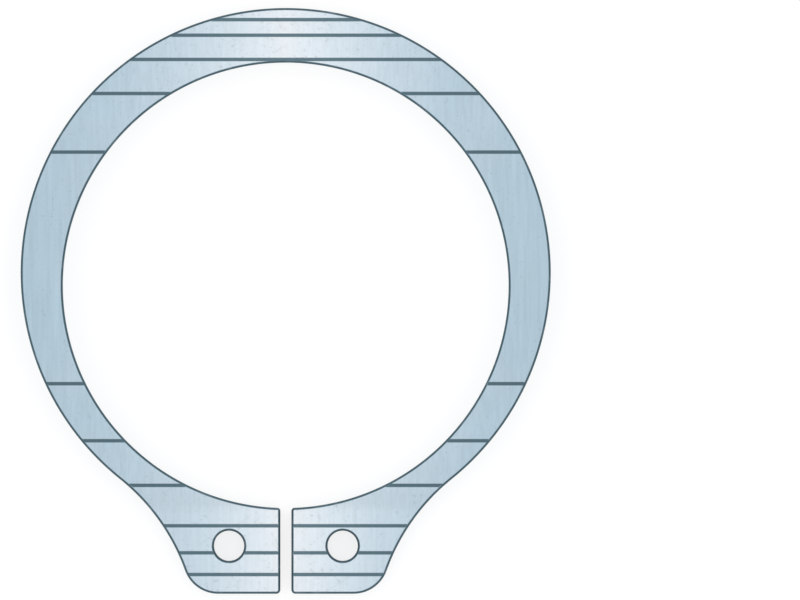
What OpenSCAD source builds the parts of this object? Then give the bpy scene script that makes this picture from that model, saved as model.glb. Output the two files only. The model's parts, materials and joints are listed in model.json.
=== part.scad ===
// Bowed external retaining ring, stamped from spring steel strip as one piece.
// The ring lies with its arched face up: both lugs are flat on z = 0 and so is the tip of the far edge.
// The origin is on the shaft's axis, +Z runs along the shaft, and the lugs point towards -Y.

/* [Strip and bore] */
// Inside diameter of the relaxed ring, a little under the groove that it grips
free_bore_d = 17.63; // [15:0.01:21]
// Thickness of the spring steel strip
strip_t = 1.07; // [0.8:0.01:1.3]

/* [Tapered arms] */
// Radial width of the arms at their widest, opposite the gap
arm_max_w = 2.17; // [1.8:0.01:2.7]
// Radial width that the taper comes down to at the gap, inside the lugs
arm_min_w = 1.17; // [0.9:0.01:1.5]

/* [Lugs] */
// Radial length of a lug, from the bore's edge to the lug's end
lug_l = 3.4; // [3:0.01:4.2]
// Width across both lugs along their ends, before the outer corners are rounded
lugs_w = 7.45; // [7:0.01:8.6]
// Radius of each lug's round outer corner
lug_corner_r = 1.4; // [0.8:0.01:1.6]
// Radius of the hollow flank that blends each lug into its arm
flank_r = 8.2; // [5:0.1:11]

/* [Gap between the lugs] */
// Width of the gap in the relaxed ring
gap_w = 0.44; // [0.3:0.01:0.7]
// Radius of the small corners between the gap and the lugs' ends
gap_end_r = 0.16; // [0.08:0.01:0.25]
// Radius of the small corners between the gap and the bore
gap_bore_r = 0.12; // [0.06:0.01:0.2]

/* [Plier holes] */
// Diameter of the two holes for the plier tips
plier_hole_d = 1.2; // [0.9:0.01:1.4]
// Distance between the centres of the two holes
plier_hole_pitch = 4.5; // [4:0.01:5]
// Distance from the bore's edge out to the holes' centres
plier_hole_inset = 1.5; // [1.3:0.01:1.8]

/* [Bow] */
// Height of the arch, from the plane that the ring lies on to the underside of its crest
bow_h = 0.89; // [0.5:0.01:1.3]
// Inside radius of the bend where the flat lugs turn up into the arched arms
bend_r = 1.5; // [0.8:0.05:2.5]

/* [Hidden] */
$fn = 240;

// Length by which a cutting shape reaches past the surface that it cuts
overcut = 1;
// Hair by which two arcs that blend into each other overlap, so that they cross and leave no sliver
blend_overlap = 0.0005;

// The arms lie between the bore and an outer circle that is set off away from the gap
bore_r = free_bore_d / 2;
outer_r = bore_r + (arm_max_w + arm_min_w) / 2;
outer_centre = [0, (arm_max_w - arm_min_w) / 2];
far_y = outer_centre.y + outer_r;

// The flank's arc touches the outer circle and would run to the lug's square corner
lug_end_y = -(bore_r + lug_l);
flank_reach = outer_r + flank_r - blend_overlap;
square_corner = [lugs_w / 2, lug_end_y] - outer_centre;
square_reach = norm(square_corner);
flank_angle = atan2(square_corner.x, -square_corner.y)
    + acos((pow(flank_reach, 2) + pow(square_reach, 2) - pow(flank_r, 2)) / (2 * flank_reach * square_reach));
flank_centre = outer_centre + flank_reach * [sin(flank_angle), -cos(flank_angle)];

// The round corner touches both the flank's arc and the lug's straight end
corner_y = lug_end_y + lug_corner_r;
corner_reach = flank_r + lug_corner_r - blend_overlap;
corner_centre = [flank_centre.x - sqrt(pow(corner_reach, 2) - pow(corner_y - flank_centre.y, 2)), corner_y];

// Centres of the small round corners on either side of the gap
gap_end_centre = [gap_w / 2 + gap_end_r, lug_end_y + gap_end_r];
gap_bore_x = gap_w / 2 + gap_bore_r;
gap_bore_centre = [gap_bore_x, -sqrt(pow(bore_r + gap_bore_r - blend_overlap, 2) - pow(gap_bore_x, 2))];

// Seen from the side, the arms follow one arc from the far edge to the bore's edge at the lugs
bow_half_chord = (far_y + bore_r) / 2;
bow_under_r = (pow(bow_half_chord, 2) + pow(bow_h, 2)) / (2 * bow_h);
bow_centre = [far_y - bow_half_chord, bow_h - bow_under_r];

// The bend is an arc that touches both the arch and the flat of the lugs
bend_centre_z = strip_t + bend_r;
bend_reach = bow_under_r + bend_centre_z - blend_overlap;
bend_centre = [bow_centre.x - sqrt(pow(bend_reach, 2) - pow(bend_centre_z - bow_centre.y, 2)), bend_centre_z];

// A point's mirror image on the other side of the gap
function across_gap(point) = [-point.x, point.y];

// Puts its children at a point and at the point's mirror image
module on_both_sides(point) {
    translate(point) children();
    translate(across_gap(point)) children();
}

// Outline of both lugs with their hollow flanks and round outer corners, before the gap is cut
module lugs_outline() {
    difference() {
        polygon([
            across_gap(flank_centre),
            across_gap(corner_centre),
            [-corner_centre.x, lug_end_y],
            [corner_centre.x, lug_end_y],
            corner_centre,
            flank_centre,
            outer_centre
        ]);
        on_both_sides(flank_centre) circle(r = flank_r);
    }
    on_both_sides(corner_centre) circle(r = lug_corner_r);
}

// The gap, with small round corners where it meets the bore and the lugs' ends
module gap_opening() {
    translate([-gap_w / 2, lug_end_y - overcut]) square([gap_w, lug_l + 2 * overcut]);
    difference() {
        polygon([across_gap(gap_bore_centre), gap_bore_centre, [0, 0]]);
        on_both_sides(gap_bore_centre) circle(r = gap_bore_r);
    }
    difference() {
        translate([-gap_end_centre.x, lug_end_y - overcut]) square([2 * gap_end_centre.x, overcut + gap_end_r]);
        on_both_sides(gap_end_centre) circle(r = gap_end_r);
    }
}

// Flat outline of the stamping, seen along the shaft's axis
module stamped_outline() {
    difference() {
        union() {
            translate(outer_centre) circle(r = outer_r);
            lugs_outline();
        }
        circle(r = bore_r);
        gap_opening();
        on_both_sides([plier_hole_pitch / 2, -(bore_r + plier_hole_inset)]) circle(d = plier_hole_d);
    }
}

// Side view of all that lies under a face of the strip: its underside at rise 0, its top at rise strip_t
module under_face(rise) {
    translate(bow_centre) circle(r = bow_under_r + rise);
    difference() {
        polygon([
            [lug_end_y - overcut, bow_centre.y],
            bow_centre,
            bend_centre,
            [bend_centre.x, rise],
            [lug_end_y - overcut, rise]
        ]);
        translate(bend_centre) circle(r = bend_centre_z - rise);
    }
}

// Side view of the bowed strip: a flat run under the lugs, the bend, and the long arch
module bowed_section() {
    intersection() {
        difference() {
            under_face(strip_t);
            under_face(0);
        }
        translate([lug_end_y - overcut / 2, -overcut])
            square([far_y - lug_end_y + overcut, bow_h + strip_t + 2 * overcut]);
    }
}

// The whole ring: the stamped outline carried up through the bowed strip
module retaining_ring() {
    color("lightsteelblue")
        intersection() {
            translate([0, 0, -overcut]) linear_extrude(height = bow_h + strip_t + 2 * overcut) stamped_outline();
            rotate([90, 0, 90]) linear_extrude(height = 2 * (outer_r + overcut), center = true) bowed_section();
        }
}

retaining_ring();
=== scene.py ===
import json
import math
import bpy
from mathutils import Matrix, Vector


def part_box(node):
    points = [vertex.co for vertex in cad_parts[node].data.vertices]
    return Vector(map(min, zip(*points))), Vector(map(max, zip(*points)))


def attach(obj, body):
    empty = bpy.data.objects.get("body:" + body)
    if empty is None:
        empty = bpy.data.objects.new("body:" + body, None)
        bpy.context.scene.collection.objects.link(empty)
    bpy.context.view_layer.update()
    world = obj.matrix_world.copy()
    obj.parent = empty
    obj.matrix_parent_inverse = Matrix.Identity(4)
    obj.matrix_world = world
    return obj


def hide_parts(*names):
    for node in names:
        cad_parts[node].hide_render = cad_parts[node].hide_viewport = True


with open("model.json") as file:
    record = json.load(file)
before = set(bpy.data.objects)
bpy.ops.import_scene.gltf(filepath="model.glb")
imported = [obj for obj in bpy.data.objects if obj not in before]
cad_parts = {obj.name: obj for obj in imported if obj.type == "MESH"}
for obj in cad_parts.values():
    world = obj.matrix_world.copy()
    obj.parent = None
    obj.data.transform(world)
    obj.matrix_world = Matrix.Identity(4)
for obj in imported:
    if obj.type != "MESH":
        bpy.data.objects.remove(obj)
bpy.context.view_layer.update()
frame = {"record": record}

# The camera looks straight down on the ring, square to the groove's wall, as a drawing's front view does.
# Its lens is long, so that the stamping's walls stay nearly out of sight and the bore looks round.
# The ring lies at the left of the frame, as in the picture.
frame_width = 0.03166
frame_middle = Vector((0.00452, -0.00058, 0.0014))
camera_data = bpy.data.cameras.new("camera")
camera_data.lens = 800
camera_data.sensor_width = 36
camera_data.clip_end = 10
camera_height = frame_width * camera_data.lens / camera_data.sensor_width
camera = bpy.data.objects.new("camera", camera_data)
camera.location = frame_middle + Vector((0, 0, camera_height))
bpy.context.scene.collection.objects.link(camera)
bpy.context.scene.camera = camera
bpy.context.scene.view_settings.view_transform = "Standard"

# The blank is one piece of spring steel strip, stamped out with its two lugs and the gap between them.
# Its outline is drawn round one side, from the far edge's tip past the lug and the gap to the bore, and
# mirrored. Bevels and cuts work best on sizes near 1, so the ring is in millimetres until it is done.
mm = 0.001
ring_low, ring_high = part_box("retaining_ring")
mounts = {mount["name"]: mount for mount in frame["record"]["mounts"]}
strip_t = mounts["plier_hole_right"]["dims"]["length_mm"]
bore_r = mounts["groove_seat"]["dims"]["r_mm"]
outer_r = ring_high.x / mm
far_y = ring_high.y / mm
outer_centre = Vector((0, far_y - outer_r))
lug_end_y = ring_low.y / mm
lugs_w = 7.45
lug_corner_r = 1.4
flank_r = 8.2
gap_w = 0.44
gap_end_r = 0.16
gap_bore_r = 0.12
outline_step = 0.12
fewest_arc_steps = 8
# Points that are no further apart than this count as lying at one height or at one place
same_place = 0.001

# The flank is a hollow arc that leaves the outer circle and would run to the lug's square corner
flank_reach = outer_r + flank_r
square_corner = Vector((lugs_w / 2, lug_end_y)) - outer_centre
square_reach = square_corner.length
flank_cosine = (flank_reach**2 + square_reach**2 - flank_r**2) / (2 * flank_reach * square_reach)
flank_angle = math.atan2(square_corner.x, -square_corner.y) + math.acos(flank_cosine)
flank_centre = outer_centre + flank_reach * Vector((math.sin(flank_angle), -math.cos(flank_angle)))

# The round corner touches both the flank and the lug's straight end
corner_reach = flank_r + lug_corner_r
corner_rise = lug_end_y + lug_corner_r - flank_centre.y
corner_angle = math.asin(corner_rise / corner_reach)
corner_centre = flank_centre + corner_reach * Vector((-math.cos(corner_angle), math.sin(corner_angle)))

# Small round corners lead from the lug's end into the gap, and from the gap into the bore
gap_end_centre = Vector((gap_w / 2 + gap_end_r, lug_end_y + gap_end_r))
gap_bore_x = gap_w / 2 + gap_bore_r
gap_bore_angle = math.asin(gap_bore_x / (bore_r + gap_bore_r))
gap_bore_centre = Vector((gap_bore_x, -gap_bore_x / math.tan(gap_bore_angle)))
quarter_turn = math.pi / 2


def outline_arc(centre, radius, clockwise):
    """Carries the outline on from its last point, round a centre."""
    steps = max(fewest_arc_steps, round(abs(clockwise) * radius / outline_step))
    bpy.ops.mesh.spin(steps=steps, angle=clockwise, center=(*centre, 0), axis=(0, 0, 1))


def outline_line(step):
    """Carries the outline straight on from its last point."""
    bpy.ops.mesh.extrude_vertices_move(TRANSFORM_OT_translate={"value": (*step, 0)})


bpy.ops.object.select_all(action="DESELECT")
bpy.ops.mesh.primitive_plane_add(size=1, location=(0, outer_centre.y + outer_r, 0))
ring = bpy.context.object
ring.name = "bowed_ring"
bpy.ops.object.transform_apply(location=True)
bpy.ops.object.mode_set(mode="EDIT")
bpy.ops.mesh.merge(type="CENTER")
outline_arc(outer_centre, outer_r, 2 * quarter_turn - flank_angle)
outline_arc(flank_centre, flank_r, flank_angle + corner_angle - quarter_turn)
outline_arc(corner_centre, lug_corner_r, quarter_turn - corner_angle)
outline_line((gap_end_centre.x - corner_centre.x, 0))
outline_arc(gap_end_centre, gap_end_r, quarter_turn)
outline_line((0, gap_bore_centre.y - gap_end_centre.y))
outline_arc(gap_bore_centre, gap_bore_r, quarter_turn - gap_bore_angle)
outline_arc((0, 0), bore_r, gap_bore_angle - 2 * quarter_turn)
bpy.ops.object.mode_set(mode="OBJECT")
bpy.ops.object.modifier_add(type="MIRROR")
ring.modifiers["Mirror"].merge_threshold = same_place
bpy.ops.object.modifier_apply(modifier="Mirror")

# The punch shears the upper part of the wall smooth and tears the lower part off, which leaves it tapered
# in. Two round punches cut the plier holes, where the record has them.
torn_h = 0.55 * strip_t
torn_taper = 0.02
hole_facets = 64
punch_l = 3 * strip_t
bpy.ops.object.mode_set(mode="EDIT")
bpy.ops.mesh.select_all(action="SELECT")
bpy.ops.mesh.edge_face_add()
bpy.ops.transform.translate(value=(0, 0, torn_h))
bpy.ops.mesh.extrude_region_move(TRANSFORM_OT_translate={"value": (0, 0, strip_t - torn_h)})
bpy.ops.mesh.select_mode(type="FACE")
bpy.ops.object.mode_set(mode="OBJECT")
for face in ring.data.polygons:
    face.select = abs(face.normal.z) > 0.5 and face.center.z < torn_h + same_place
bpy.ops.object.mode_set(mode="EDIT")
bpy.ops.mesh.inset(thickness=torn_taper)
bpy.ops.transform.translate(value=(0, 0, -torn_h))
bpy.ops.mesh.select_all(action="SELECT")
bpy.ops.mesh.normals_make_consistent(inside=False)
bpy.ops.object.mode_set(mode="OBJECT")
for side in ("left", "right"):
    hole = mounts["plier_hole_" + side]
    hole_at = Vector(hole["pos_m"]) / mm
    hole_r = hole["dims"]["r_mm"]
    bpy.ops.mesh.primitive_cylinder_add(vertices=hole_facets, radius=hole_r, depth=punch_l, location=hole_at)
    punch = bpy.context.object
    bpy.ops.object.select_all(action="DESELECT")
    ring.select_set(True)
    bpy.context.view_layer.objects.active = ring
    bpy.ops.object.modifier_add(type="BOOLEAN")
    ring.modifiers["Boolean"].object = punch
    bpy.ops.object.modifier_apply(modifier="Boolean")
    bpy.data.objects.remove(punch)

# Stamping draws the edges of the arched face down into a wide roll, and tumbling in a barrel breaks the
# edges under it. The roll is narrower than the small corners of the gap, so that it fits round them.
upper_roll = 0.1
lower_break = 0.05
sharp_angle = math.radians(60)


def select_edges_at(height):
    """Selects the sharp edges of the flat blank that lie in one of its faces."""
    bpy.ops.mesh.select_mode(type="EDGE")
    bpy.ops.mesh.select_all(action="DESELECT")
    bpy.ops.mesh.edges_select_sharp(sharpness=sharp_angle)
    bpy.ops.object.mode_set(mode="OBJECT")
    for edge in ring.data.edges:
        ends = [ring.data.vertices[index].co.z for index in edge.vertices]
        edge.select = edge.select and all(abs(z - height) < same_place for z in ends)
    bpy.ops.object.mode_set(mode="EDIT")


bpy.ops.object.mode_set(mode="EDIT")
select_edges_at(strip_t)
bpy.ops.mesh.bevel(offset=upper_roll, segments=5, clamp_overlap=False, loop_slide=False)
select_edges_at(0)
bpy.ops.mesh.bevel(offset=lower_break, segments=3, clamp_overlap=False, loop_slide=False)

# The press tool touches the sheet along lines across the arms and lugs, and leaves them slightly sunk in.
# More edges are cut across the flat blank between them, so that it can follow the bow.
press_lines = [10.52, 9.9, 8.94, 7.59, 5.27, -3.89, -6.15, -7.92, -9.52, -10.59, -11.45]
press_line_w = 0.18
press_line_depth = 0.012
bow_cut_step = 0.25
# A cut goes through a point of the blank that is this close to it, and leaves no sliver beside it
cut_snap = 0.004


def cut_across(y):
    """Cuts edges into the whole blank, straight across it."""
    bpy.ops.mesh.select_all(action="SELECT")
    bpy.ops.mesh.bisect(plane_co=(0, y, 0), plane_no=(0, 1, 0), threshold=cut_snap)


blank_l = far_y - lug_end_y
for cut in range(1, int(blank_l / bow_cut_step) + 1):
    cut_y = lug_end_y + cut * bow_cut_step
    if all(abs(cut_y - line_y) > press_line_w for line_y in press_lines):
        cut_across(cut_y)
for line_y in press_lines:
    for side in (-0.5, 0, 0.5):
        cut_across(line_y + side * press_line_w)
bpy.ops.object.mode_set(mode="OBJECT")

# The points keep their height in the sheet and their share in a press line, for the finish to read
sheet_height = ring.data.attributes.new("sheet_height", "FLOAT", "POINT")
press_line = ring.data.attributes.new("press_line", "FLOAT", "POINT")
for vertex in ring.data.vertices:
    sheet_height.data[vertex.index].value = vertex.co.z / strip_t
    off_line = min(abs(vertex.co.y - line_y) for line_y in press_lines)
    if vertex.co.z > strip_t - same_place and off_line < press_line_w / 2:
        share = 1 - off_line / (press_line_w / 2)
        press_line.data[vertex.index].value = share
        vertex.co.z -= share * press_line_depth

# The press tool bows the blank: one long arch from the far edge to the lugs, a short bend, and flat lugs.
# Each point keeps its place in plan and rises with the arch, so that the bore stays a circle.
bow_h = ring_high.z / mm - strip_t
bend_r = 1.5
half_chord = (far_y + bore_r) / 2
arch_r = (half_chord**2 + bow_h**2) / (2 * bow_h)
arch_centre = Vector((far_y - half_chord, bow_h - arch_r))
bend_centre_z = strip_t + bend_r
bend_reach = arch_r + bend_centre_z
bend_centre_y = arch_centre.x - math.sqrt(bend_reach**2 - (bend_centre_z - arch_centre.y) ** 2)
smooth_angle = math.radians(50)


def bowed(y, height):
    """Height above the floor of a point of the sheet, once the sheet is bowed."""
    if y < bend_centre_y:
        return height
    along = (y - bend_centre_y) / (arch_centre.x - bend_centre_y) * bend_reach
    if along < bend_centre_z - height:
        return bend_centre_z - math.sqrt((bend_centre_z - height) ** 2 - (y - bend_centre_y) ** 2)
    return arch_centre.y + math.sqrt((arch_r + height) ** 2 - (y - arch_centre.x) ** 2)


for vertex in ring.data.vertices:
    vertex.co.z = bowed(vertex.co.y, vertex.co.z)

bpy.ops.object.shade_smooth_by_angle(angle=smooth_angle)
bpy.ops.object.modifier_add(type="WEIGHTED_NORMAL")
bpy.ops.object.modifier_apply(modifier="WeightedNormal")
ring.scale = (mm, mm, mm)
bpy.ops.object.transform_apply(scale=True)

# The steel is tumbled and zinc plated, with a clear blue passivate: satin and blue. Along the middle line it
# is painted silver, a painted highlight that adds to the strip light's. Rounded edges and press lines are
# painted slate, as painted shade.
# The walls show how the punch went through: a smooth band above, with shear streaks, and dull torn metal.
blue_plating = (0.412, 0.546, 0.64, 1)
painted_highlight_silver = (0.605, 0.638, 0.672, 1)
# Slate for painted shade along the rounded edges and in the press lines
painted_shade_slate = (0.075, 0.127, 0.154, 1)
painted_highlight_reach = 4
cloud_share = 0.3
plating_shade = 0.88
plating_roughness = 0.27
deepest_mark = 0.004


def feed(socket, value):
    """Gives a socket a plain value, or what another node puts out."""
    if isinstance(value, bpy.types.NodeSocket):
        value.id_data.links.new(value, socket)
    else:
        socket.default_value = value


def work_out(tree, operation, *values):
    """Adds a Math node and gives its result."""
    node = tree.nodes.new("ShaderNodeMath")
    node.operation = operation
    for socket, value in zip(node.inputs, values):
        feed(socket, value)
    return node.outputs["Value"]


def add_marks(tree, value, marks):
    """Adds each mark to a value, by that mark's amount."""
    for mark, amount in marks:
        value = work_out(tree, "MULTIPLY_ADD", mark, amount, value)
    return value


def fade(tree, value, start, end, start_gives=0.0, end_gives=1.0):
    """Turns smoothly from one amount to another, while a value goes from start to end."""
    node = tree.nodes.new("ShaderNodeMapRange")
    node.interpolation_type = "SMOOTHSTEP"
    for socket, number in zip(node.inputs, (value, start, end, start_gives, end_gives)):
        feed(socket, number)
    return node.outputs["Result"]


def mix_colours(tree, share, colour, other):
    """Mixes a share of the other colour into a colour."""
    node = tree.nodes.new("ShaderNodeMix")
    node.data_type = "RGBA"
    feed(node.inputs["Factor"], share)
    feed(node.inputs["A"], colour)
    feed(node.inputs["B"], other)
    return node.outputs["Result"]


def surface_grain(tree, lump, detail, turn=0.0):
    """Gives an uneven value. Its lumps are sized in millimetres, and turned about the shaft's axis."""
    place = tree.nodes.new("ShaderNodeTexCoord")
    mapping = tree.nodes.new("ShaderNodeMapping")
    mapping.vector_type = "TEXTURE"
    mapping.inputs["Rotation"].default_value = (0, 0, turn)
    mapping.inputs["Scale"].default_value = [size * mm for size in lump]
    noise = tree.nodes.new("ShaderNodeTexNoise")
    noise.inputs["Scale"].default_value = 1
    noise.inputs["Detail"].default_value = detail
    tree.links.new(place.outputs["Object"], mapping.inputs["Vector"])
    tree.links.new(mapping.outputs["Vector"], noise.inputs["Vector"])
    return noise.outputs["Fac"]


def read_from_ring(tree, name):
    """Reads a value that is stored on the ring's points."""
    node = tree.nodes.new("ShaderNodeAttribute")
    node.attribute_name = name
    return node.outputs["Fac"]


plated_steel = bpy.data.materials.new("plated_spring_steel")
plated_steel.use_nodes = True
tree = plated_steel.node_tree
surface = tree.nodes["Principled BSDF"]
surface.inputs["Metallic"].default_value = 1

# Painted highlight: silver along the middle line, fading to the blue plating with the distance from it, with
# soft clouds in the passivate
place = tree.nodes.new("ShaderNodeTexCoord")
separate = tree.nodes.new("ShaderNodeSeparateXYZ")
tree.links.new(place.outputs["Object"], separate.inputs["Vector"])
aside = work_out(tree, "ABSOLUTE", separate.outputs["X"])
painted_highlight_share = work_out(tree, "EXPONENT", work_out(tree, "DIVIDE", aside, -painted_highlight_reach * mm))
clouds = surface_grain(tree, (2.2, 2.9, 2.0), 4)
clouds = work_out(tree, "MULTIPLY_ADD", clouds, cloud_share, -cloud_share / 2)
painted_highlight_share = work_out(tree, "ADD", painted_highlight_share, clouds)
plating_and_painted_highlight = mix_colours(tree, painted_highlight_share, blue_plating, painted_highlight_silver)

# Where in the sheet's thickness the surface is: 1 on the arched face, 0 under it, and the walls between
height = read_from_ring(tree, "sheet_height")
wall = work_out(tree, "MULTIPLY", fade(tree, height, 0.915, 0.88), fade(tree, height, 0.04, 0.07))
off_faces = work_out(tree, "MULTIPLY", fade(tree, height, 1.0, 0.996), fade(tree, height, 0.0, 0.008))
rounded_edge = work_out(tree, "MULTIPLY", off_faces, work_out(tree, "SUBTRACT", 1, wall))
torn_edge = work_out(tree, "MULTIPLY_ADD", surface_grain(tree, (0.25, 0.25, 1), 3), 0.2, height)
torn = work_out(tree, "MULTIPLY", wall, fade(tree, torn_edge, 0.68, 0.6))

# Rolling lines of the strip run from the lugs to the far edge, under fine pecks of the tumbling barrel and
# a few scratches from handling
rolling = surface_grain(tree, (0.125, 2.9, 0.125), 4)
peck = fade(tree, surface_grain(tree, (0.14, 0.14, 0.14), 2), 0.6, 0.72)
scratch = fade(tree, surface_grain(tree, (1.5, 0.05, 1.5), 2, turn=0.6), 0.66, 0.74)
cross_scratch = fade(tree, surface_grain(tree, (1.3, 0.05, 1.3), 2, turn=-0.8), 0.67, 0.75)
scratches = work_out(tree, "MAXIMUM", scratch, cross_scratch)
shear_streaks = work_out(tree, "MULTIPLY", wall, surface_grain(tree, (0.07, 0.07, 1.5), 3))
tears = work_out(tree, "MULTIPLY", torn, surface_grain(tree, (0.08, 0.08, 0.2), 3))

# Each mark lightens or darkens the plating. Slate is painted shade, along the rounded edges and in the press
# lines
shade_marks = [(rolling, 0.24), (peck, -0.08), (scratches, -0.05), (shear_streaks, -0.12), (torn, -0.2)]
shaded = tree.nodes.new("ShaderNodeVectorMath")
shaded.operation = "SCALE"
feed(shaded.inputs["Vector"], plating_and_painted_highlight)
feed(shaded.inputs["Scale"], add_marks(tree, plating_shade, shade_marks))
# Painted shade: the rounded edges are painted slate, a little patchy
edge_shade_patches = fade(tree, surface_grain(tree, (0.5, 0.5, 0.5), 2), 0.2, 0.5, 0.85, 1)
painted_edge_shade = work_out(tree, "MULTIPLY", rounded_edge, edge_shade_patches)
# Painted shade: the press lines are painted slate, dark lines across the bow
painted_line_shade = fade(tree, read_from_ring(tree, "press_line"), 0.05, 0.4, 0, 0.96)
colour = mix_colours(tree, painted_edge_shade, shaded.outputs["Vector"], painted_shade_slate)
feed(surface.inputs["Base Color"], mix_colours(tree, painted_line_shade, colour, painted_shade_slate))

# Each mark also dulls the satin, and stands out of the surface or sinks into it
dull_marks = [(rolling, 0.12), (peck, 0.1), (scratches, 0.08), (torn, 0.2), (rounded_edge, 0.06)]
feed(surface.inputs["Roughness"], add_marks(tree, plating_roughness, dull_marks))
relief_marks = [(rolling, 0.6), (peck, -0.3), (scratches, -0.4), (shear_streaks, 0.7), (tears, 1)]
bump = tree.nodes.new("ShaderNodeBump")
bump.inputs["Distance"].default_value = deepest_mark * mm
feed(bump.inputs["Height"], add_marks(tree, 0, relief_marks))
feed(surface.inputs["Normal"], bump.outputs["Normal"])
ring.data.materials.append(plated_steel)

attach(ring, "root")
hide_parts("retaining_ring")

# A white table for the ring to lie on, wide enough to fill every view. The camera and the metal see it
# white, and it keeps the ring's soft shadow.
table_w = 3
table_grey = (0.28, 0.28, 0.28, 1)
table_glow = 0.76
bpy.ops.object.select_all(action="DESELECT")
bpy.ops.mesh.primitive_plane_add(size=table_w)
table = bpy.context.object
table.name = "table"
white_top = bpy.data.materials.new("white_table_top")
white_top.use_nodes = True
tree = white_top.node_tree
surface = tree.nodes["Principled BSDF"]
surface.inputs["Base Color"].default_value = table_grey
surface.inputs["Roughness"].default_value = 0.9
surface.inputs["Emission Color"].default_value = (1, 1, 1, 1)
light_path = tree.nodes.new("ShaderNodeLightPath")
seen = work_out(tree, "MAXIMUM", light_path.outputs["Is Camera Ray"], light_path.outputs["Is Glossy Ray"])
seen = work_out(tree, "MAXIMUM", seen, light_path.outputs["Is Transmission Ray"])
feed(surface.inputs["Emission Strength"], work_out(tree, "MULTIPLY", seen, table_glow))
table.data.materials.append(white_top)

# The studio's soft light is a bright sky all round. It is dimmer low down, which shapes the walls and the
# rounded edges, and white again along the skyline, where the table ends.
low_sky_grey = (0.45, 0.5, 0.55, 1)
sky_white = (1, 1, 1, 1)
skyline_top = 0.04
dimmest_sky = 0.09
full_sky = 0.6
studio = bpy.data.worlds.new("studio")
bpy.context.scene.world = studio
studio.use_nodes = True
tree = studio.node_tree
sky = tree.nodes["Background"]
direction = tree.nodes.new("ShaderNodeTexCoord")
separate = tree.nodes.new("ShaderNodeSeparateXYZ")
tree.links.new(direction.outputs["Generated"], separate.inputs["Vector"])
upward = separate.outputs["Z"]
skyline = fade(tree, upward, skyline_top, dimmest_sky, 1, 0)
whiteness = work_out(tree, "MAXIMUM", skyline, fade(tree, upward, skyline_top, full_sky))
feed(sky.inputs["Color"], mix_colours(tree, whiteness, low_sky_grey, sky_white))

# A slim strip light hangs low over the ring, along its middle line, and ends just past the lugs. It makes
# the far edge and the lugs brightest in the middle.
strip_light_w = 0.003
strip_light_l = 0.08
strip_light_h = 0.026
strip_light_end_y = -0.018
strip_light_level = 1.45
strip_light_data = bpy.data.lights.new("strip_light", "AREA")
strip_light_data.shape = "RECTANGLE"
strip_light_data.size = strip_light_w
strip_light_data.size_y = strip_light_l
strip_light_data.energy = strip_light_level * math.pi * strip_light_w * strip_light_l
strip_light = bpy.data.objects.new("strip_light", strip_light_data)
strip_light.location = (0, strip_light_end_y + strip_light_l / 2, strip_light_h)
strip_light.visible_camera = False
bpy.context.scene.collection.objects.link(strip_light)
